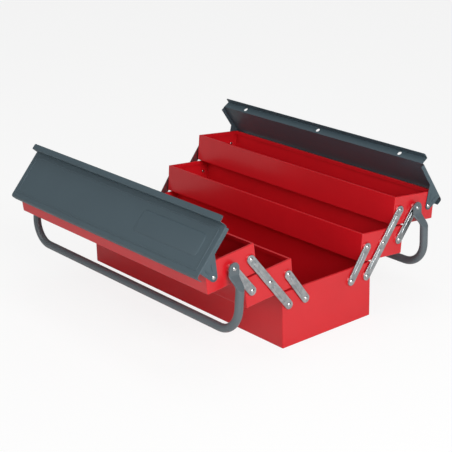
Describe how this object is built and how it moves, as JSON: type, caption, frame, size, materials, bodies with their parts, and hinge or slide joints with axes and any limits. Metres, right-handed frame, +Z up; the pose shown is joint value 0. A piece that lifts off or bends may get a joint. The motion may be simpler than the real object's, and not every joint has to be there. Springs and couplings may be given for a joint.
{
  "type": "cantilever toolbox",
  "caption": "Cantilever toolbox of folded steel sheet: a base tray, stepped side trays on riveted arms, hinged lids and swinging tube handles.",
  "frame": {"origin": "centre of the base tray's underside, on the surface that it stands on", "axes": "+X along the box, +Y across it towards the back trays, +Z up"},
  "size_m": [0.59, 0.5445, 0.26],
  "materials": {
    "trays": "gloss red powder coat",
    "lids": "semi-gloss blue-grey powder coat",
    "handles": "semi-gloss blue-grey powder coat",
    "arms": "bright zinc plate",
    "rivets": "bright zinc plate"
  },
  "bodies": {
    "base": {"base_tray": "trays", "base_rivets": "rivets"},
    "front_long_arms": {"front_long_arm_right": "arms", "front_long_arm_left": "arms"},
    "front_lower_arms": {"front_lower_arm_right": "arms", "front_lower_arm_left": "arms"},
    "front_lower_tray": {"front_lower_tray": "trays", "front_lower_tray_rivets": "rivets"},
    "front_upper_arms": {"front_upper_arm_right": "arms", "front_upper_arm_left": "arms"},
    "front_upper_tray": {"front_upper_tray": "trays", "front_upper_tray_rivets": "rivets", "front_handle_rivets": "rivets", "front_lid_rivets": "rivets"},
    "front_lid": {"front_lid": "lids"},
    "front_handle_washers": {"front_handle_washers": "arms"},
    "front_handle": {"front_handle": "handles"},
    "back_long_arms": {"back_long_arm_right": "arms", "back_long_arm_left": "arms"},
    "back_lower_arms": {"back_lower_arm_right": "arms", "back_lower_arm_left": "arms"},
    "back_lower_tray": {"back_lower_tray": "trays", "back_lower_tray_rivets": "rivets"},
    "back_upper_arms": {"back_upper_arm_right": "arms", "back_upper_arm_left": "arms"},
    "back_upper_tray": {"back_upper_tray": "trays", "back_upper_tray_rivets": "rivets", "back_handle_rivets": "rivets", "back_lid_rivets": "rivets"},
    "back_lid": {"back_lid": "lids"},
    "back_handle_washers": {"back_handle_washers": "arms"},
    "back_handle": {"back_handle": "handles"}
  },
  "joints": [
    {"name": "front_fold", "type": "hinge", "parent": "base", "child": "front_long_arms", "pos_m": [0, -0.0884, 0.0755], "axis": [-1, 0, 0], "range_deg": [0, 75.4]},
    {"name": "front_lower_arm_turn", "type": "hinge", "parent": "base", "child": "front_lower_arms", "pos_m": [0, -0.052, 0.0762], "axis": [-1, 0, 0], "range_deg": [0, 76.1]},
    {"name": "front_lower_tray_turn", "type": "hinge", "parent": "front_long_arms", "child": "front_lower_tray", "pos_m": [0, -0.12779, 0.12502], "axis": [-1, 0, 0], "range_deg": [-71.4, 0]},
    {"name": "front_upper_arm_turn", "type": "hinge", "parent": "front_lower_tray", "child": "front_upper_arms", "pos_m": [0, -0.16524, 0.1216], "axis": [-1, 0, 0], "range_deg": [0, 71.5]},
    {"name": "front_upper_tray_turn", "type": "hinge", "parent": "front_long_arms", "child": "front_upper_tray", "pos_m": [0, -0.16719, 0.17455], "axis": [-1, 0, 0], "range_deg": [-70.4, 0]},
    {"name": "front_lid_hinge", "type": "hinge", "parent": "front_upper_tray", "child": "front_lid", "pos_m": [0, -0.24012, 0.16437], "axis": [-1, 0, 0], "range_deg": [-57, 43]},
    {"name": "front_washer_turn", "type": "hinge", "parent": "front_upper_tray", "child": "front_handle_washers", "pos_m": [0, -0.20509, 0.17071], "axis": [-1, 0, 0], "range_deg": [0, 32.7]},
    {"name": "front_handle_swing", "type": "hinge", "parent": "front_handle_washers", "child": "front_handle", "pos_m": [0, -0.20509, 0.17071], "axis": [-1, 0, 0], "range_deg": [-5, 161.1]},
    {"name": "back_fold", "type": "hinge", "parent": "base", "child": "back_long_arms", "pos_m": [0, 0.0884, 0.0755], "axis": [1, 0, 0], "range_deg": [0, 75.4]},
    {"name": "back_lower_arm_turn", "type": "hinge", "parent": "base", "child": "back_lower_arms", "pos_m": [0, 0.052, 0.0762], "axis": [1, 0, 0], "range_deg": [0, 76.1]},
    {"name": "back_lower_tray_turn", "type": "hinge", "parent": "back_long_arms", "child": "back_lower_tray", "pos_m": [0, 0.12779, 0.12502], "axis": [1, 0, 0], "range_deg": [-71.4, 0]},
    {"name": "back_upper_arm_turn", "type": "hinge", "parent": "back_lower_tray", "child": "back_upper_arms", "pos_m": [0, 0.16524, 0.1216], "axis": [1, 0, 0], "range_deg": [0, 71.5]},
    {"name": "back_upper_tray_turn", "type": "hinge", "parent": "back_long_arms", "child": "back_upper_tray", "pos_m": [0, 0.16719, 0.17455], "axis": [1, 0, 0], "range_deg": [-70.4, 0]},
    {"name": "back_lid_hinge", "type": "hinge", "parent": "back_upper_tray", "child": "back_lid", "pos_m": [0, 0.24012, 0.16437], "axis": [1, 0, 0], "range_deg": [-49, 51]},
    {"name": "back_washer_turn", "type": "hinge", "parent": "back_upper_tray", "child": "back_handle_washers", "pos_m": [0, 0.20509, 0.17071], "axis": [1, 0, 0], "range_deg": [0, 32.7]},
    {"name": "back_handle_swing", "type": "hinge", "parent": "back_handle_washers", "child": "back_handle", "pos_m": [0, 0.20509, 0.17071], "axis": [1, 0, 0], "range_deg": [-1, 165.1]}
  ],
  "couplings": [
    {"joint": "front_lower_arm_turn", "follows": "front_fold", "ratio": 0.996},
    {"joint": "front_lower_tray_turn", "follows": "front_fold", "ratio": -0.93369},
    {"joint": "front_upper_arm_turn", "follows": "front_fold", "ratio": 0.93439},
    {"joint": "front_upper_tray_turn", "follows": "front_fold", "ratio": -0.92043},
    {"joint": "front_washer_turn", "follows": "front_fold", "ratio": 0.42},
    {"joint": "back_lower_arm_turn", "follows": "back_fold", "ratio": 0.996},
    {"joint": "back_lower_tray_turn", "follows": "back_fold", "ratio": -0.93369},
    {"joint": "back_upper_arm_turn", "follows": "back_fold", "ratio": 0.93439},
    {"joint": "back_upper_tray_turn", "follows": "back_fold", "ratio": -0.92043},
    {"joint": "back_washer_turn", "follows": "back_fold", "ratio": 0.42}
  ]
}
